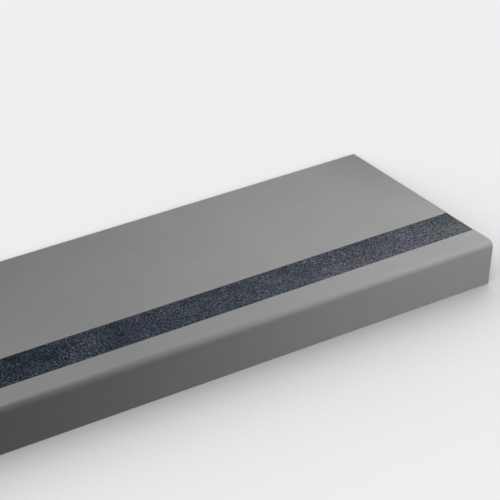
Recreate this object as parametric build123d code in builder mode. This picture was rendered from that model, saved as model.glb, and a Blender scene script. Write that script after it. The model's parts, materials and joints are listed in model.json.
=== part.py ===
from build123d import *
import os
from math import atan2, degrees

# Rubber stair tread with a grit strip, all sizes in millimetres.
#
# A moulded rubber tread covers the top of a step and turns down over its front edge. Its section is an L:
# a long leaf that thins towards the back of the step, and a short nose whose outer face leans in towards
# its tip. The face that is glued to the step is flat, and it meets the glued face of the nose at a right
# angle, where a small round groove lets the nose hinge to fit the step. An abrasive strip lies in a
# shallow channel along the front of the leaf.
#
# The tread lies loose on a level floor, top side up. It then touches the floor along the tip of the nose
# and along the back edge of the leaf, so the leaf slopes down to the back. The origin is on the floor,
# under the middle of the tread. X runs along the nose, and Y from the nose to the back.

# Whole tread
tread_length = 914.4  # along the nose, 36 in
tread_depth = 275.6  # front of the nose to the back edge
edge_round = 0.4  # small radius on the long moulded edges

# Leaf, the part that is walked on
leaf_front_thickness = 6.4  # beside the nose, 1/4 in
leaf_back_thickness = 3.2  # at the back edge, 1/8 in

# Nose, the part that turns down
nose_drop = 58.2  # top of the leaf to the tip of the nose
nose_root_thickness = 7.6  # at the top
nose_tip_thickness = 3.8  # at the tip
nose_round = 7.5  # outer radius of the front edge
hinge_groove_radius = 1.2  # in the inner corner

# Grit strip and its channel
strip_width = 50.8  # 2 in
strip_thickness = 1.0
strip_setback = 36.8  # front of the nose to the front edge of the strip
strip_gap = 0.2  # on each side of the strip
strip_sunk = 0.2  # top of the strip below the leaf

# The section is drawn as it sits on a step: x to the back along the glued face of the leaf, y up along the
# glued face of the nose, and 0, 0 where the two meet, at the edge of the step.
leaf_back = tread_depth - nose_root_thickness
tip_level = leaf_front_thickness - nose_drop
leaf_slope = degrees(atan2(leaf_front_thickness - leaf_back_thickness, leaf_back))


def leaf_top(x):
    """Height of the leaf's top face above its glued face."""
    return leaf_front_thickness - (leaf_front_thickness - leaf_back_thickness) * x / leaf_back


nose_front = (-nose_root_thickness, leaf_top(-nose_root_thickness))
strip_middle = strip_setback + strip_width / 2 - nose_root_thickness
channel_depth = strip_thickness + strip_sunk
strip_seat = (strip_middle, leaf_top(strip_middle) - channel_depth)

with BuildSketch() as tread_section:
    with BuildLine():
        Polyline(
            (0, 0),
            (leaf_back, 0),
            (leaf_back, leaf_back_thickness),
            nose_front,
            (-nose_tip_thickness, tip_level),
            (0, tip_level),
            close=True,
        )
    make_face()
    fillet(tread_section.vertices().group_by(Axis.X)[-1], radius=edge_round)
    fillet(tread_section.vertices().group_by(Axis.Y)[0], radius=edge_round)
    fillet(tread_section.vertices().sort_by_distance(nose_front)[0], radius=nose_round)
    Circle(hinge_groove_radius, mode=Mode.SUBTRACT)
    with Locations(strip_seat):
        Rectangle(
            strip_width + 2 * strip_gap,
            2 * channel_depth,
            rotation=-leaf_slope,
            align=(Align.CENTER, Align.MIN),
            mode=Mode.SUBTRACT,
        )

with BuildSketch() as strip_section:
    with Locations(strip_seat):
        Rectangle(strip_width, strip_thickness, rotation=-leaf_slope, align=(Align.CENTER, Align.MIN))

# How the section lies on the floor: it turns until the tip and the back edge are level, and then the
# middle of its outline goes over the origin.
rest_slope = degrees(atan2(-tip_level, leaf_back))
lying = tread_section.sketch.rotate(Axis.Z, -rest_slope).bounding_box()
step_edge = (0, -lying.center().X, -lying.min.Y)
across = Plane(
    origin=step_edge,
    x_dir=Vector(0, 1, 0).rotate(Axis.X, -rest_slope),
    z_dir=(1, 0, 0),
)

with BuildPart() as rubber_tread:
    with BuildSketch(across):
        add(tread_section.sketch)
    extrude(amount=tread_length / 2, both=True)

with BuildPart() as grit_strip:
    with BuildSketch(across):
        add(strip_section.sketch)
    extrude(amount=tread_length / 2, both=True)

rubber_tread.part.label = "rubber_tread"
grit_strip.part.label = "grit_strip"

os.makedirs("parts", exist_ok=True)
export_step(rubber_tread.part, "parts/rubber_tread.step")
export_step(grit_strip.part, "parts/grit_strip.step")

print("rest slope", round(rest_slope, 3), "degrees, step edge at", [round(v, 3) for v in step_edge])
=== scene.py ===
# %% [markdown]
# # A rubber stair tread with a grit strip
#
# A stair tread covers the top of a step and turns down over its front edge. This one is moulded in
# plain grey rubber, with a soft rounded front edge and a strip of dark mineral grit set along it, so
# that a shoe doesn't slip. Here it lies loose on a floor, resting on the tip of its nose and on its
# back edge.
#
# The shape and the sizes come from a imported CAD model, the frame. This script gives it its looks: a
# finer mesh of the rubber, a bed of grit with thousands of real grains, the finishes, the lamps and the
# camera.

import json
from math import atan2, cos, degrees, pi, radians, sin, tan

import bmesh
import bpy
import numpy as np
from mathutils import Matrix, Vector, noise


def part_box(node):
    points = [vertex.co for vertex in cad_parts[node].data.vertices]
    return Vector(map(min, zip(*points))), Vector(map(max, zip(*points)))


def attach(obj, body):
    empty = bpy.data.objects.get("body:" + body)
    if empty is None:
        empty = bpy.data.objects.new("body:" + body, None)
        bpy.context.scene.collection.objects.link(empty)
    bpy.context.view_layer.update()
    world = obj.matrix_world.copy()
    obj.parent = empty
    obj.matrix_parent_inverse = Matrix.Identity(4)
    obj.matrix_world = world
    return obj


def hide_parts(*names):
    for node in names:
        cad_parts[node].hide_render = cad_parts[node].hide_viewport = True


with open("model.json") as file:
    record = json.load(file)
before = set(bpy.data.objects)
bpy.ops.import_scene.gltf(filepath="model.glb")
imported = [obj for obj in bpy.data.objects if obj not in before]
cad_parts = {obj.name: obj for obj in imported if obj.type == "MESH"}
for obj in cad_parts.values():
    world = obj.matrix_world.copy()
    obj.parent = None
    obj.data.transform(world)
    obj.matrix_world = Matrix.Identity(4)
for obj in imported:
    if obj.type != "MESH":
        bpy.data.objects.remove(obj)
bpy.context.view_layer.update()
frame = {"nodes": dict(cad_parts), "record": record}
print("pieces in the frame:", sorted(frame["nodes"]))

# %% [markdown]
# The frame's record states two flat faces that are glued to the step: the underside of the leaf and the
# back of the nose. They meet at a right angle, at the edge of the step. That makes a handy set of axes:
# along the nose, towards the back of the step, and up from the glued face. Every piece is modelled
# level, on these axes, as it would sit on a step, and one matrix then lays it down on the floor as the
# tread really lies.

# %% Find the tread's own axes
glued_faces = {face["name"]: face for face in frame["record"]["mounts"]}
underside = glued_faces["leaf_underside"]
nose_back = glued_faces["nose_back"]
to_back = Vector(nose_back["axis"]).normalized()
upward = -Vector(underside["axis"]).normalized()
step_edge = to_back * to_back.dot(nose_back["pos_m"]) + upward * upward.dot(underside["pos_m"])
rest_slope = atan2(-to_back.z, to_back.y)

lay_down = Matrix((Vector((1, 0, 0)), to_back, upward)).transposed().to_4x4()
lay_down.translation = step_edge
tread_low, tread_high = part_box("rubber_tread")
tread_length = tread_high.x - tread_low.x
print("length", round(tread_length, 4), "m, slope", round(degrees(rest_slope), 2), "degrees")

# %% [markdown]
# The section has a few driving sizes, in metres. The leaf thins from the nose to the back, the outer
# face of the nose leans in, and the strip lies in a channel that follows the slope of the leaf's top.

# %% Sizes of the section
mm = 0.001
tread_depth = 275.6 * mm
leaf_front_thickness = 6.4 * mm
leaf_back_thickness = 3.2 * mm
nose_drop = 58.2 * mm
nose_root_thickness = 7.6 * mm
nose_tip_thickness = 3.8 * mm
nose_round = 7.5 * mm
hinge_groove_radius = 1.2 * mm
edge_round = 0.4 * mm
strip_width = 50.8 * mm
strip_thickness = 1.0 * mm
strip_setback = 36.8 * mm
strip_gap = 0.2 * mm
strip_sunk = 0.2 * mm

leaf_back = tread_depth - nose_root_thickness
tip_level = leaf_front_thickness - nose_drop
leaf_slope = atan2(leaf_front_thickness - leaf_back_thickness, leaf_back)
channel_depth = strip_thickness + strip_sunk
print("the leaf's top slopes", round(degrees(leaf_slope), 2), "degrees on the step")


def leaf_top(depth):
    """Height of the leaf's top face over its glued face, at a depth behind the step's edge."""
    return leaf_front_thickness - tan(leaf_slope) * depth


strip_middle = strip_setback + strip_width / 2 - nose_root_thickness


def over_strip(across, height):
    """A point of the section, across the strip from its middle and up from the leaf's top face."""
    depth = strip_middle + across * cos(leaf_slope) + height * sin(leaf_slope)
    return depth, leaf_top(strip_middle) - across * sin(leaf_slope) + height * cos(leaf_slope)


# %% [markdown]
# Rubber this thin is never dead flat: it keeps long, shallow waves from the mould and from the roll or
# stack that it was stored in. They are a fraction of a millimetre high, and they only show as a slow
# change in the light along the leaf. A smooth noise gives the waves, always downwards, so that the part
# stays inside its real size, and the same waves carry the strip, so that nothing comes through
# anything.

# %% Waves in the rubber
wave_height = 0.22 * mm
waves_per_metre = 5.0


def sag(point):
    """How far the rubber lies below its true face at a point, from its long waves."""
    return wave_height * (0.5 + 0.5 * noise.noise(point * waves_per_metre))


def let_sag(bm):
    """Lowers the top of the leaf by the waves, and leaves the glued side where it is."""
    half_back = leaf_back_thickness / 2
    for vert in bm.verts:
        if vert.co.z > half_back:
            share = min(1.0, (vert.co.z - half_back) / half_back)
            vert.co.z -= share * sag(vert.co)


# %% [markdown]
# ## The rubber tread
#
# On the real product this is one moulding, so it is one mesh. Its outline is drawn once, as a single
# face on the end, with an arc for the groove in the inner corner, and extruded along the tread. The
# round front edge is then a bevel with many segments: a bevel keeps the two flat faces exact and puts a
# true arc between them. For an arc of a given radius, the bevel starts that radius divided by the
# tangent of half the corner from the edge.

# %% Draw the outline and extrude it
groove_segments = 14
groove_arc = [
    (hinge_groove_radius * cos(turn), hinge_groove_radius * sin(turn))
    for turn in np.linspace(1.5 * pi, 0.0, groove_segments)
]
half_channel = strip_width / 2 + strip_gap
channel = [
    over_strip(half_channel, 0),
    over_strip(half_channel, -channel_depth),
    over_strip(-half_channel, -channel_depth),
    over_strip(-half_channel, 0),
]
nose_front = (-nose_root_thickness, leaf_top(-nose_root_thickness))
nose_tip = (-nose_tip_thickness, tip_level)
leaf_end = (leaf_back, leaf_back_thickness)
outline = groove_arc + [(leaf_back, 0), leaf_end] + channel + [nose_front, nose_tip, (0, tip_level)]

tread_bm = bmesh.new()
left_end = [tread_bm.verts.new((-tread_length / 2, depth, height)) for depth, height in outline]
end_face = tread_bm.faces.new(left_end)
pulled = bmesh.ops.extrude_face_region(tread_bm, geom=[end_face])["geom"]
right_end = [item for item in pulled if isinstance(item, bmesh.types.BMVert)]
bmesh.ops.translate(tread_bm, verts=right_end, vec=(tread_length, 0, 0))
bmesh.ops.recalc_face_normals(tread_bm, faces=tread_bm.faces)
print("outline of", len(outline), "corners")


# %% [markdown]
# A helper finds the long edges by the corner of the outline that they run from, and bevels them.

# %% Round the long edges
touching = 0.01 * mm


def long_edges(bm, *corners):
    """The edges along the tread that run through these corners of the outline."""
    found = []
    for edge in bm.edges:
        ends = [vert.co for vert in edge.verts]
        for depth, height in corners:
            gap = max(abs(end.y - depth) + abs(end.z - height) for end in ends)
            if gap < touching:
                found.append(edge)
    return found


def round_edges(bm, edges, offset, segments):
    """Bevels edges with an arc that starts the offset from them."""
    bmesh.ops.bevel(
        bm,
        geom=edges,
        offset=offset,
        offset_type="OFFSET",
        segments=segments,
        profile=0.5,
        affect="EDGES",
        material=-1,
    )


nose_lean = atan2(nose_root_thickness - nose_tip_thickness, nose_drop)
front_corner = pi / 2 - nose_lean + leaf_slope
front_offset = nose_round / tan(front_corner / 2)
round_edges(tread_bm, long_edges(tread_bm, nose_front), front_offset, segments=18)
small_edges = [nose_tip, (0, tip_level), leaf_end, (leaf_back, 0)]
round_edges(tread_bm, long_edges(tread_bm, *small_edges), edge_round, segments=4)
rim_round = 0.25 * mm
round_edges(tread_bm, long_edges(tread_bm, channel[0], channel[3]), rim_round, segments=3)
print("the front bevel starts", round(front_offset / mm, 2), "mm from the corner")

# %% [markdown]
# The ends are cut with a knife, which leaves a crisp edge with only a hair of rounding. Then planes cut
# the mesh into a grid, which gives the waves something to bend.

# %% Break the cut ends' edges and cut a grid
cut_end_round = 0.15 * mm
end_edges = [
    edge
    for edge in tread_bm.edges
    if all(abs(abs(vert.co.x) - tread_length / 2) < touching for vert in edge.verts)
]
round_edges(tread_bm, end_edges, cut_end_round, segments=2)


def cut_across(bm, direction, places):
    """Cuts the mesh with a plane at each place along a direction."""
    for place in places:
        everything = bm.verts[:] + bm.edges[:] + bm.faces[:]
        bmesh.ops.bisect_plane(
            bm,
            geom=everything,
            dist=0.001 * mm,
            plane_co=direction * place,
            plane_no=direction,
        )


cuts_along = 48
cuts_to_back = 9
along_places = np.linspace(-tread_length / 2, tread_length / 2, cuts_along + 2)[1:-1]
back_places = np.linspace(strip_middle + strip_width, leaf_back, cuts_to_back + 1)[:-1]
cut_across(tread_bm, Vector((1, 0, 0)), along_places)
cut_across(tread_bm, Vector((0, 1, 0)), back_places)
let_sag(tread_bm)
print("cut by", len(along_places) + len(back_places), "planes into", len(tread_bm.faces), "faces")


# %% [markdown]
# A finished mesh goes into an object at the origin, with its place in its vertices. Smooth shading with
# normals weighted by face size keeps the flat faces flat right up to their rounded edges. Edges that
# turn by more than 35 degrees, such as the corners of the channel, stay crisp.

# %% Make the rubber piece
def make_piece(bm, name):
    """Lays a mesh down with the tread and gives it an object that rides on it."""
    bmesh.ops.transform(bm, matrix=lay_down, verts=bm.verts)
    mesh = bpy.data.meshes.new(name)
    for face in bm.faces:
        face.smooth = True
    bm.to_mesh(mesh)
    bm.free()
    piece = bpy.data.objects.new(name, mesh)
    bpy.context.scene.collection.objects.link(piece)
    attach(piece, "root")
    print(name, "has", len(mesh.polygons), "faces")
    return piece


sharp_angle = radians(35)
for edge in tread_bm.edges:
    edge.smooth = len(edge.link_faces) == 2 and edge.calc_face_angle(0) < sharp_angle
moulding = make_piece(tread_bm, "moulded_rubber")
weighted = moulding.modifiers.new("weighted normals", "WEIGHTED_NORMAL")
weighted.keep_sharp = True
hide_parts("rubber_tread")

# %% [markdown]
# ## The bed of the grit strip
#
# The strip is a bed of dark resin filled with mineral grains, which stand up out of it. The bed is a
# fine grid below their tops, roughened by two sizes of noise, with its rim pulled down to the floor of
# the channel. One face closes it underneath, and a poke cuts that face into a fan of triangles, because
# a face with so many corners in straight rows is hard to divide cleanly.

# %% Make the bed
bed_cell = 1.1 * mm
bed_sunk = 0.70 * mm
bed_rough = 0.22 * mm
bed_cells_along = int(tread_length / bed_cell)
bed_cells_across = int(strip_width / bed_cell)
coarse_per_metre = 420.0
fine_per_metre = 1150.0
coarse_share = 0.6
fine_share = 0.5


def bed_level(place):
    """Height of the bed's rough skin over the leaf's top face."""
    coarse = noise.noise(place * coarse_per_metre)
    fine = noise.noise(place * fine_per_metre)
    return bed_rough * (coarse_share * coarse + fine_share * fine) - bed_sunk


strip_frame = Matrix.Rotation(-leaf_slope, 4, "X")
strip_frame.translation = Vector((0, strip_middle, leaf_top(strip_middle)))

bed_bm = bmesh.new()
bmesh.ops.create_grid(bed_bm, x_segments=bed_cells_along, y_segments=bed_cells_across, size=0.5)
bmesh.ops.scale(bed_bm, vec=(tread_length, strip_width, 1), verts=bed_bm.verts)
for vert in bed_bm.verts:
    vert.co.z = bed_level(vert.co)
rim = [edge for edge in bed_bm.edges if edge.is_boundary]
skirt = bmesh.ops.extrude_edge_only(bed_bm, edges=rim)["geom"]
skirt_verts = [item for item in skirt if isinstance(item, bmesh.types.BMVert)]
for vert in skirt_verts:
    vert.co.z = -channel_depth
skirt_rim = [item for item in skirt if isinstance(item, bmesh.types.BMEdge) and item.is_boundary]
underside_face = bmesh.ops.contextual_create(bed_bm, geom=skirt_rim)["faces"]
bmesh.ops.poke(bed_bm, faces=underside_face)
bmesh.ops.recalc_face_normals(bed_bm, faces=bed_bm.faces)
bmesh.ops.transform(bed_bm, matrix=strip_frame, verts=bed_bm.verts)
let_sag(bed_bm)
bed = make_piece(bed_bm, "grit_bed")
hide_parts("grit_strip")

# %% [markdown]
# ## The grains
#
# Grit is crushed mineral: sharp, flat-faced chips of many shapes. They could be thousands of different
# rocks, but a dozen are enough, because each copy is turned, squashed and scaled in its own way. A chip
# is the convex hull of a few points on a ball, with only ten faces, as a shape repeated this often
# should have.

# %% Model a dozen chips
chance = np.random.default_rng(20)
chip_kinds = 12
chip_corners = 7
chip_radius = 0.5


def make_chip(corners):
    """Vertices and triangles of one crushed chip, about one unit across."""
    chip_bm = bmesh.new()
    for direction in chance.normal(size=(corners, 3)):
        chip_bm.verts.new(Vector(direction).normalized() * chip_radius)
    hull = bmesh.ops.convex_hull(chip_bm, input=chip_bm.verts)
    spare = [item for item in hull["geom_interior"] if isinstance(item, bmesh.types.BMVert)]
    bmesh.ops.delete(chip_bm, geom=spare, context="VERTS")
    bmesh.ops.recalc_face_normals(chip_bm, faces=chip_bm.faces)
    chip_bm.verts.index_update()
    points = np.array([vert.co for vert in chip_bm.verts])
    triangles = np.array([[vert.index for vert in face.verts] for face in chip_bm.faces])
    chip_bm.free()
    return points, triangles


chips = [make_chip(chip_corners) for kind in range(chip_kinds)]
print("chips of", sorted(len(triangles) for points, triangles in chips), "triangles")


# %% [markdown]
# Grit that is strewn into wet resin lands any way up. A random turn that favours no direction comes
# from four random numbers, scaled to a unit quaternion and written out as a rotation matrix.

# %% Turn grains at random
def turned_at_random(count):
    """Rotation matrices of random turns, one for each grain."""
    quaternions = chance.normal(size=(count, 4))
    w, x, y, z = (quaternions / np.linalg.norm(quaternions, axis=1, keepdims=True)).T
    return np.array([
        [1 - 2 * (y * y + z * z), 2 * (x * y - z * w), 2 * (x * z + y * w)],
        [2 * (x * y + z * w), 1 - 2 * (x * x + z * z), 2 * (y * z - x * w)],
        [2 * (x * z - y * w), 2 * (y * z + x * w), 1 - 2 * (x * x + y * y)],
    ]).transpose(2, 0, 1)


# %% [markdown]
# The grains are laid down as the bed was: from the strip's own axes to the tread's, lowered by the
# waves in the rubber, and then with the tread onto the floor. Tens of thousands of separate objects
# would be slow, so one mesh takes them all, filled straight from arrays. Each grain brings a number of
# its own, its tone, which the finish later turns into a colour.

# %% Join grains into one piece
def lay_on_strip(level):
    """Takes points from the strip's own axes to their places in the tread as it lies."""
    placed = level @ np.array(strip_frame.to_3x3()).T + np.array(strip_frame.translation)
    placed[:, 2] -= np.array([sag(Vector((x, y, z))) for x, y, z in placed])
    return placed @ np.array(lay_down.to_3x3()).T + np.array(lay_down.translation)


def join_grains(name, points, triangles, tones):
    """One piece of many grains, with the tone of each grain on its points."""
    mesh = bpy.data.meshes.new(name)
    mesh.vertices.add(len(points))
    mesh.vertices.foreach_set("co", points.ravel())
    mesh.loops.add(triangles.size)
    mesh.loops.foreach_set("vertex_index", triangles.ravel())
    mesh.polygons.add(len(triangles))
    mesh.polygons.foreach_set("loop_start", np.arange(0, triangles.size, 3))
    mesh.update(calc_edges=True)
    mesh.validate()
    tone_of_point = mesh.attributes.new("tone", "FLOAT", "POINT")
    tone_of_point.data.foreach_set("value", tones)
    piece = bpy.data.objects.new(name, mesh)
    bpy.context.scene.collection.objects.link(piece)
    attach(piece, "root")
    print(name, "has", len(mesh.polygons), "triangles")
    return piece


# %% [markdown]
# The grains lie on a loose grid: each cell of the grid holds one grain, moved at random within it.
# That covers the bed evenly, without rows. Light and dark grains flock together a little, in groups of
# a few millimetres, so a fine noise pushes the tone of each grain up or down by where it lies. The big
# grains stand up most, and smaller ones fill in between them. A corner that would reach down through
# the bed is lifted to just over the floor of the channel.

# %% Scatter the grains
crowds_along = 450.0
crowds_across = 240.0
crowd_share = 0.7
flattest_grain = 0.65
longest_grain = 1.15
deepest_point = -0.95 * channel_depth


def scatter_grains(name, spacing, smallest, largest, lowest_top, highest_top):
    """A layer of grains over the bed, with their tops between two heights over the leaf's top face."""
    room_along = tread_length - largest
    room_across = strip_width - largest
    cells_along = int(room_along / spacing)
    cells_across = int(room_across / spacing)
    cell_x, cell_y = np.meshgrid(np.arange(cells_along), np.arange(cells_across), indexing="ij")
    count = cell_x.size
    place_x = ((cell_x.ravel() + chance.uniform(0, 1, count)) / cells_along - 0.5) * room_along
    place_y = ((cell_y.ravel() + chance.uniform(0, 1, count)) / cells_across - 0.5) * room_across
    size = chance.uniform(smallest, largest, count)
    squash = chance.uniform(flattest_grain, longest_grain, (count, 3))
    turns = turned_at_random(count)
    spots = zip(place_x * crowds_along, place_y * crowds_across)
    crowd = np.array([noise.noise(Vector((x, y, 0))) for x, y in spots])
    tone = np.clip(chance.uniform(0, 1, count) + crowd_share * crowd, 0, 1)
    top = chance.uniform(lowest_top, highest_top, count)
    kinds = chance.integers(0, len(chips), count)
    all_points = []
    all_triangles = []
    all_tones = []
    first = 0
    for kind, (points, triangles) in enumerate(chips):
        chosen = np.flatnonzero(kinds == kind)
        shaped = points[None] * squash[chosen, None] * size[chosen, None, None]
        shaped = np.einsum("nij,npj->npi", turns[chosen], shaped)
        shaped[..., 0] += place_x[chosen, None]
        shaped[..., 1] += place_y[chosen, None]
        shaped[..., 2] += top[chosen, None] - shaped[..., 2].max(axis=1, keepdims=True)
        shaped[..., 2] = np.maximum(shaped[..., 2], deepest_point)
        starts = first + np.arange(len(chosen)) * len(points)
        all_points.append(shaped.reshape(-1, 3))
        all_triangles.append((triangles[None] + starts[:, None, None]).reshape(-1, 3))
        all_tones.append(np.repeat(tone[chosen], len(points)))
        first += len(chosen) * len(points)
    print(name, "has", count, "grains")
    placed = lay_on_strip(np.concatenate(all_points))
    return join_grains(name, placed, np.concatenate(all_triangles), np.concatenate(all_tones))


coarse_grains = scatter_grains(
    "grit_coarse_grains",
    spacing=1.9 * mm,
    smallest=1.4 * mm,
    largest=2.0 * mm,
    lowest_top=-0.35 * mm,
    highest_top=0.10 * mm,
)
fine_grains = scatter_grains(
    "grit_fine_grains",
    spacing=1.6 * mm,
    smallest=0.8 * mm,
    largest=1.2 * mm,
    lowest_top=-0.45 * mm,
    highest_top=0.0 * mm,
)


# %% [markdown]
# ## Finishes
#
# Each finish is a small tree of nodes. A helper adds a node: plain values go to its inputs in order,
# and named ones to the input or the setting of that name. A value that comes from another node is
# linked.

# %% Add a node
def add(tree, kind, *values, **named):
    """Adds a shader node, sets or links its inputs, and returns it."""
    made = tree.nodes.new("ShaderNode" + kind)
    for name, value in named.items():
        if name in made.bl_rna.properties:
            setattr(made, name, value)
    sockets = list(zip(made.inputs, values))
    sockets += [
        (made.inputs[name.replace("_", " ")], value)
        for name, value in named.items()
        if name not in made.bl_rna.properties
    ]
    for socket, value in sockets:
        if isinstance(value, bpy.types.NodeSocket):
            tree.links.new(value, socket)
        elif value is not None:
            socket.default_value = value
    return made


# %% [markdown]
# A few nodes come back in every finish: sums, a noise of so many features per metre, a number that
# slides from one value to another, the distance to a point, and a blend of two colours. All patterns
# follow the Object coordinates, so they stay on the rubber and the grit as paint would.

# %% The nodes used most
def maths(tree, operation, *values):
    """The result of a Math node."""
    return add(tree, "Math", *values, operation=operation).outputs[0]


def speckle(tree, place, per_metre, detail=2.0, roughness=0.5):
    """A noise between 0 and 1, with a number of features per metre."""
    made = add(tree, "TexNoise", Vector=place, Scale=per_metre, Detail=detail, Roughness=roughness)
    return made.outputs[0]


def slide(tree, value, start, end, first, last):
    """Goes from the first number to the last one while a value goes from the start to the end."""
    return add(tree, "MapRange", value, start, end, first, last).outputs[0]


def gap_to(tree, place, point):
    """The distance to a point, in metres."""
    return add(tree, "VectorMath", place, point, operation="DISTANCE").outputs["Value"]


def blend_colours(tree, share, first, second):
    """Goes from the first colour to the second by a share."""
    return add(tree, "MixRGB", share, first, second).outputs[0]


def grey(value):
    """A plain grey as a colour."""
    return (value, value, value, 1.0)


def start_finish(name):
    """A new material, its tree, its shader and the Object coordinates that its patterns follow."""
    material = bpy.data.materials.new(name)
    material.use_nodes = True
    tree = material.node_tree
    place = add(tree, "TexCoord").outputs["Object"]
    return material, tree, tree.nodes["Principled BSDF"], place


# %% [markdown]
# **Rubber.** Plain grey rubber straight from a fine-blasted mould: satin, with a slight mottle where
# the filler lies unevenly, and a tiny even grain. The glued faces are sanded at the factory, so they
# are paler, rougher and scratched along the tread. A Mapping node turns the Object coordinates onto the
# tread's own axes. On those axes the glued faces are easy to tell from the rest, because only they lie
# both behind the nose and under the leaf.

# %% Tell the sanded faces from the moulded ones
rubber, tree, shader, place = start_finish("satin_grey_rubber")
turn_level = (rest_slope, 0, 0)
shift_level = (0, -step_edge.dot(to_back), -step_edge.dot(upward))
level_place = add(tree, "Mapping", place, shift_level, turn_level).outputs[0]
level_axes = add(tree, "SeparateXYZ", level_place).outputs
allowance = 0.05 * mm
behind = maths(tree, "GREATER_THAN", level_axes[1], -allowance)
below = maths(tree, "LESS_THAN", level_axes[2], allowance)
sanded = maths(tree, "MULTIPLY", behind, below)
print("the step's edge is at", [round(value, 4) for value in step_edge])

# %% [markdown]
# The moulded skin is the sum of three noises: a wide mottle, patches of about a centimetre and the
# grain of the mould. Over the last few centimetres of the right end, painted light makes it a shade
# paler towards the front, and painted shade makes it a shade darker towards the back corner.

# %% Colour the moulded skin
mottle_share = 0.4
patch_share = 0.3
grain_share = 0.3
end_shading_starts = 0.38
end_shading_full = 0.45
paler_front = 0.10
darker_back = 0.24
paler_by = 0.20
darker_by = 0.34
mottle = speckle(tree, place, per_metre=14.0, detail=3.0)
patches = speckle(tree, place, per_metre=95.0, detail=3.0)
grain = speckle(tree, place, per_metre=330.0, detail=4.0, roughness=0.6)
patch_part = maths(tree, "MULTIPLY", patches, patch_share)
coarse_part = maths(tree, "MULTIPLY_ADD", mottle, mottle_share, patch_part)
even_tone = maths(tree, "MULTIPLY_ADD", grain, grain_share, coarse_part)
# Painted light towards the front and painted shade towards the back corner of the right end.
at_end = slide(tree, level_axes[0], end_shading_starts, end_shading_full, 0.0, 1.0)
painted_end_shading = slide(tree, level_axes[1], paler_front, darker_back, paler_by, -darker_by)
tone = maths(tree, "MULTIPLY_ADD", at_end, painted_end_shading, even_tone)
moulded_colour = blend_colours(tree, tone, grey(0.255), grey(0.35))
print("the moulded skin is coloured by", len(tree.nodes), "nodes so far")

# %% [markdown]
# The sanded skin is one noise that is drawn out along the tread into scratches. One small dark speck
# lies on the top, behind the strip. It is a soft dot by the distance to its centre.

# %% Colour the sanded skin and the speck
scratch_stretch = (0.12, 1.0, 1.0)
speck_place = (0.2090, 0.0353, 0.0243)
speck_radius = 3.4 * mm
speck_core = 0.4 * speck_radius
speck_darkness = 0.14
drawn_out = add(tree, "Mapping", place, (0, 0, 0), (0, 0, 0), scratch_stretch).outputs[0]
scratches = speckle(tree, drawn_out, per_metre=1400.0, detail=3.0, roughness=0.7)
sanded_colour = blend_colours(tree, scratches, grey(0.27), grey(0.40))
speck = slide(tree, gap_to(tree, place, speck_place), speck_radius, speck_core, 0.0, speck_darkness)
specked_colour = blend_colours(tree, speck, moulded_colour, grey(0.02))
rubber_colour = blend_colours(tree, sanded, specked_colour, sanded_colour)
tree.links.new(rubber_colour, shader.inputs["Base Color"])
print("a speck", round(2 * speck_radius / mm, 1), "mm wide at", speck_place)

# %% [markdown]
# Moulded rubber has a soft sheen, not a gloss, and sanded rubber has none. The patches vary the sheen a
# little, and a fine bump gives the blasted skin of the mould, and the scratches where it is sanded.

# %% Sheen and skin of the rubber
smoothest = 0.56
patchy_roughness = 0.16
sanded_roughness = 0.3
skin_height = 0.5
satin = maths(tree, "MULTIPLY_ADD", patches, patchy_roughness, smoothest)
rough = maths(tree, "MULTIPLY_ADD", sanded, sanded_roughness, satin)
tree.links.new(rough, shader.inputs["Roughness"])
skin = speckle(tree, place, per_metre=2600.0, detail=2.0, roughness=0.6)
cut_marks = maths(tree, "MULTIPLY", scratches, sanded)
relief = maths(tree, "MULTIPLY_ADD", skin, skin_height, cut_marks)
bump = add(tree, "Bump", Strength=0.35, Distance=0.08 * mm, Height=relief)
tree.links.new(bump.outputs[0], shader.inputs["Normal"])
shader.inputs["Specular IOR Level"].default_value = 0.3
moulding.data.materials.append(rubber)
print(rubber.name, "has", len(tree.nodes), "nodes")


# %% [markdown]
# **Grit.** Seen close, the strip is a crowd of dark blue-grey and charcoal chips, a few pale ones, and
# dark resin full of sand between them. No two patches of it are alike: some are darker and some paler,
# and some lean a little to blue or to brown. Two slow noises do that to any colour of the grit, one for
# its shade and one for its hue. A ramp picks a colour by a tone.

# %% Ramps and patches
def ramp(tree, share, stops):
    """A colour ramp with stops of (place, colour)."""
    made = add(tree, "ValToRGB", share)
    elements = made.color_ramp.elements
    while len(elements) < len(stops):
        elements.new(0.5)
    for element, (place_on_ramp, colour) in zip(elements, stops):
        element.position = place_on_ramp
        element.color = (*colour, 1.0)
    return made.outputs[0]


shade_spread = 2.5
shade_base = -0.25
hues_per_metre = 24.0
hue_spread = (0.8, 0.4, 0.5)
hue_base = (0.584, 0.809, 0.786)


def in_patches(tree, place, colour):
    """Makes patches of the grit darker or paler, and leans them in hue."""
    shade_noise = speckle(tree, place, per_metre=25.0, detail=3.0, roughness=0.75)
    shade = maths(tree, "MULTIPLY_ADD", shade_noise, shade_spread, shade_base)
    hue_noise = add(tree, "TexNoise", Vector=place, Scale=hues_per_metre, Detail=2.0, Roughness=0.6)
    hues = hue_noise.outputs["Color"]
    lean = add(tree, "VectorMath", hues, hue_spread, hue_base, operation="MULTIPLY_ADD").outputs[0]
    leaning = add(tree, "MixRGB", 1.0, colour, lean, blend_type="MULTIPLY").outputs[0]
    return add(tree, "VectorMath", leaning, Scale=shade, operation="SCALE").outputs[0]
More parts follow.
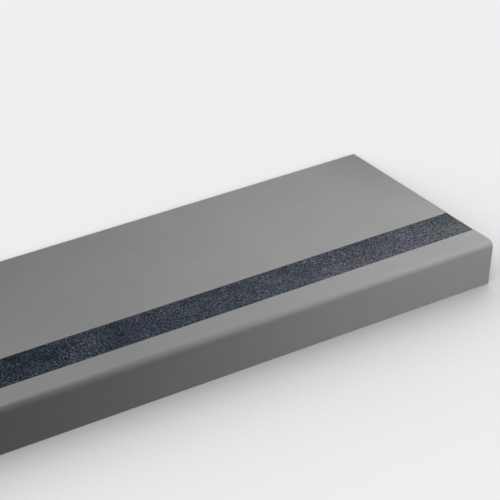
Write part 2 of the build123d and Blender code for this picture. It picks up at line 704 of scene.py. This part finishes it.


# %% [markdown]
# ** Painted sheen and dust.** Grit holds the dust that smooth rubber sheds, and the front corner of the
# right end is a little sandy with it. A pale layer over the grit thickens towards the right end, more
# at the front of the strip than at its back. It is painted sheen of the light on the grit there, with
# some dust. It is a cool blue grey, apart from a warmer stretch of about a decimetre not far from the
# right end. The pale colour is blended over the grit, in a share that grows along the strip and is
# uneven by a noise, and a ramp along the strip picks the colour. How well a surface takes the sheen and
# the dust
# comes in as a number: pale grains take most and the darkest none, so the grit keeps its contrast.

# %% Dust over the grit
sheen_and_dust_from = -0.10
sheen_and_dust_to = 0.46
sheen_and_dust_at_end = 0.415
dust_in_corner = 0.34
corner_reach = 0.045
sheen_and_dust_at_back = 0.62
sheen_and_dust_at_front = 1.58
thinnest_sheen_and_dust = 0.6
uneven_by = 0.8
front_of_strip = step_edge + to_back * (strip_middle - strip_width / 2) + upward * leaf_front_thickness
back_of_strip = front_of_strip + to_back * strip_width
dusty_corner = front_of_strip + Vector((tread_length / 2, 0, 0))
sheen_and_dust_stops = [
    (0.52, (0.348, 0.366, 0.430)),
    (0.64, (0.368, 0.342, 0.388)),
    (0.84, (0.368, 0.342, 0.388)),
    (0.95, (0.332, 0.356, 0.382)),
]
sandy_dust = (0.296, 0.266, 0.192, 1.0)


def lay_sheen_and_dust(tree, place, colour, hold):
    """Lays painted sheen and fine dust over a colour, by how well the surface takes them."""
    axes = add(tree, "SeparateXYZ", place).outputs
    # The share along the strip is painted sheen of the light towards the right end, with some dust.
    along = slide(tree, axes[0], sheen_and_dust_from, sheen_and_dust_to, 0.0, 1.0)
    sheen_and_dust_colour = ramp(tree, along, sheen_and_dust_stops)
    towards_end = maths(tree, "MULTIPLY", along, sheen_and_dust_at_end)
    forward = slide(tree, axes[1], back_of_strip.y, front_of_strip.y, sheen_and_dust_at_back, sheen_and_dust_at_front)
    gap = gap_to(tree, place, tuple(dusty_corner))
    near_corner = slide(tree, gap, corner_reach, 0.0, 0.0, dust_in_corner)
    sheen_and_dust_noise = speckle(tree, place, per_metre=45.0, detail=3.0, roughness=0.6)
    uneven = maths(tree, "MULTIPLY_ADD", sheen_and_dust_noise, uneven_by, thinnest_sheen_and_dust)
    held = maths(tree, "MULTIPLY", uneven, hold)
    along_strip = maths(tree, "MULTIPLY", maths(tree, "MULTIPLY", towards_end, forward), held)
    at_corner = maths(tree, "MULTIPLY", near_corner, held)
    sheened_and_dusted = blend_colours(tree, along_strip, colour, sheen_and_dust_colour)
    return blend_colours(tree, at_corner, sheened_and_dusted, sandy_dust)


# The pale layer along the strip is painted sheen with some dust.
print("dust thickens from", sheen_and_dust_from, "m to", sheen_and_dust_to, "m along the strip")


# %% [markdown]
# **Resin.** Between the grains the resin is full of fine sand. A Voronoi pattern has cells of about two
# thirds of a millimetre. Each cell takes one tone, as a speck of sand does, and its middle stands up as
# a bump.

# %% Finish of the bed
resin, tree, shader, place = start_finish("dark_grit_resin")
sand_per_metre = 1500.0
sand = add(tree, "TexVoronoi", Vector=place, Scale=sand_per_metre).outputs
sand_tone = add(tree, "SeparateXYZ", sand["Color"]).outputs[0]
sand_stops = [
    (0.0, (0.007, 0.010, 0.013)),
    (0.5, (0.013, 0.017, 0.023)),
    (0.7, (0.027, 0.036, 0.049)),
    (1.0, (0.077, 0.101, 0.136)),
]
sand_colour = in_patches(tree, place, ramp(tree, sand_tone, sand_stops))
# The sand takes the painted sheen and the dust at a share of 0.45.
tree.links.new(lay_sheen_and_dust(tree, place, sand_colour, hold=0.45), shader.inputs["Base Color"])
sand_relief = maths(tree, "SUBTRACT", 1.0, sand["Distance"])
bump = add(tree, "Bump", Strength=0.8, Distance=0.25 * mm, Height=sand_relief)
tree.links.new(bump.outputs[0], shader.inputs["Normal"])
shader.inputs["Roughness"].default_value = 0.6
shader.inputs["Specular IOR Level"].default_value = 0.1
bed.data.materials.append(resin)
print(resin.name, "has", len(tree.nodes), "nodes")


# %% [markdown]
# **Grains.** Each grain's tone picks its colour from a ramp. Up to about a third of the way the ramp is
# nearly black, then it steps up to slate blue and goes on to a pale grey, so that most grains are mid
# slate, some are black and a few are pale. The small grains have a slightly paler ramp of their own.
# The painted sheen and the dust stay off the darkest grains and lie thickest on the palest.

# %% Finishes of the grains
darkest_sheened_and_dusty = 0.23
hold_of_palest = 2.0


def grain_finish(name, stops, roughness):
    """A finish for mineral grains, coloured by each grain's tone."""
    mineral, tree, shader, place = start_finish(name)
    own_tone = add(tree, "Attribute", attribute_name="tone").outputs["Fac"]
    grain_colour = in_patches(tree, place, ramp(tree, own_tone, stops))
    # Pale grains take the most painted sheen and dust, the darkest none.
    hold = slide(tree, own_tone, darkest_sheened_and_dusty, 1.0, 0.0, hold_of_palest)
    tree.links.new(lay_sheen_and_dust(tree, place, grain_colour, hold), shader.inputs["Base Color"])
    shader.inputs["Roughness"].default_value = roughness
    shader.inputs["Specular IOR Level"].default_value = 0.1
    print(name, "has", len(tree.nodes), "nodes")
    return mineral


charcoal_stops = [
    (0.0, (0.008, 0.011, 0.015)),
    (0.32, (0.016, 0.022, 0.030)),
    (0.42, (0.095, 0.130, 0.178)),
    (0.85, (0.190, 0.249, 0.325)),
    (1.0, (0.29, 0.34, 0.41)),
]
slate_stops = [
    (0.0, (0.010, 0.014, 0.019)),
    (0.30, (0.020, 0.027, 0.038)),
    (0.42, (0.102, 0.139, 0.189)),
    (0.88, (0.210, 0.268, 0.344)),
    (1.0, (0.34, 0.39, 0.46)),
]
coarse_grains.data.materials.append(grain_finish("charcoal_grains", charcoal_stops, roughness=0.38))
fine_grains.data.materials.append(grain_finish("slate_grains", slate_stops, roughness=0.42))

# %% [markdown]
# ## Floor, lamps and camera
#
# The floor is plain and pale. Lamps alone would leave pools of light on it, so what the camera sees of
# it is one even grey. Ambient occlusion, which is how much open space a point has above it, darkens
# that grey softly where the tread is close. It is the shadow that a thing has under wide, soft light.
# For every other ray the floor gives a faint, even light, as a pale floor does to the underside of what
# lies on it.

# %% Floor
floor_size = 40.0
floor_bm = bmesh.new()
bmesh.ops.create_grid(floor_bm, x_segments=1, y_segments=1, size=floor_size / 2)
floor_mesh = bpy.data.meshes.new("floor")
floor_bm.to_mesh(floor_mesh)
floor_bm.free()
floor = bpy.data.objects.new("floor", floor_mesh)
bpy.context.scene.collection.objects.link(floor)

floor_grey = 0.865
light_from_floor = 0.095
shade_reach = 0.25
deepest_shade = 0.8
shade_falloff = 2.2
paper, tree, shader, place = start_finish("pale_floor")
openness = add(tree, "AmbientOcclusion", samples=16, Distance=shade_reach).outputs["AO"]
shade = maths(tree, "POWER", openness, shade_falloff)
seen_grey = blend_colours(tree, shade, grey(floor_grey * (1 - deepest_shade)), grey(floor_grey))
seen = add(tree, "LightPath").outputs["Is Camera Ray"]
floor_light = blend_colours(tree, seen, grey(light_from_floor), seen_grey)
even_light = add(tree, "Emission", floor_light, 1.0).outputs[0]
tree.links.new(even_light, tree.nodes["Material Output"].inputs["Surface"])
tree.nodes.remove(shader)
floor.data.materials.append(paper)
print("floor of", floor_size, "m")

# %% [markdown]
# Three soft boxes light the tread. One is high up behind it, nearer the right end, so the top darkens
# slowly towards the left. One is low in front of the right end. It lights the nose, which stays a good
# deal darker than the top. The third is far behind on the left, and its low light brushes over the left
# half of the top. The world adds a little light from all round.

# %% Lamps and world
lamp_size = 0.5
fill_light = 0.15


def soft_lamp(name, place, aim, spread, power):
    """A square soft box at a place, aimed at a point, that lights a cone of this spread."""
    data = bpy.data.lights.new(name, "AREA")
    data.shape = "SQUARE"
    data.size = lamp_size
    data.spread = radians(spread)
    data.energy = power
    lamp = bpy.data.objects.new(name, data)
    lamp.location = place
    lamp.rotation_euler = (Vector(aim) - Vector(place)).to_track_quat("-Z", "Y").to_euler()
    lamp.visible_camera = False
    bpy.context.scene.collection.objects.link(lamp)
    print(name, "of", power, "W at", place)


soft_lamp("top_lamp", place=(0.35, 0.905, 1.52), aim=(0.494, -0.176, 0.03), spread=60, power=2.46)
soft_lamp("front_lamp", place=(0.653, -0.439, 0.349), aim=(0.291, -0.131, 0.03), spread=81, power=0.89)
soft_lamp("back_lamp", place=(-1.25, 2.0, 0.90), aim=(-0.61, -0.90, 0.03), spread=39, power=5.45)

world = bpy.data.worlds.new("studio")
bpy.context.scene.world = world
world.use_nodes = True
sky_tree = world.node_tree
sky = sky_tree.nodes["Background"]
seen = add(sky_tree, "LightPath").outputs["Is Camera Ray"]
backdrop = maths(sky_tree, "MULTIPLY", seen, floor_grey)
sky_tree.links.new(maths(sky_tree, "MAXIMUM", backdrop, fill_light), sky.inputs["Strength"])
sky.inputs["Color"].default_value = grey(1.0)

# %% [markdown]
# The camera has the photo's view of the tread. It is a long lens from about two and a half metres,
# rolled a little, because the tread lies on its own slope here.

# %% Camera
camera_place = Vector((-1058.3, -1568.0, 1625.1)) * mm
camera_azimuth = radians(-38.817)
camera_elevation = radians(38.292)
camera_roll = radians(8.691)
sensor_width = 36.0
focal_length = 159.69

away = Vector((
    sin(camera_azimuth) * cos(camera_elevation),
    -cos(camera_azimuth) * cos(camera_elevation),
    sin(camera_elevation),
))
level_right = Vector((cos(camera_azimuth), sin(camera_azimuth), 0))
level_up = away.cross(level_right)
right = level_right * cos(camera_roll) + level_up * sin(camera_roll)
up = level_up * cos(camera_roll) - level_right * sin(camera_roll)
camera_data = bpy.data.cameras.new("camera")
camera_data.lens = focal_length
camera_data.sensor_width = sensor_width
camera_data.clip_end = 100.0
camera = bpy.data.objects.new("camera", camera_data)
camera.matrix_world = Matrix.Translation(camera_place) @ Matrix((right, up, away)).transposed().to_4x4()
bpy.context.scene.collection.objects.link(camera)
bpy.context.scene.camera = camera
bpy.context.scene.view_settings.view_transform = "Standard"
print("camera", round(camera_place.length, 2), "m away, lens", focal_length, "mm")
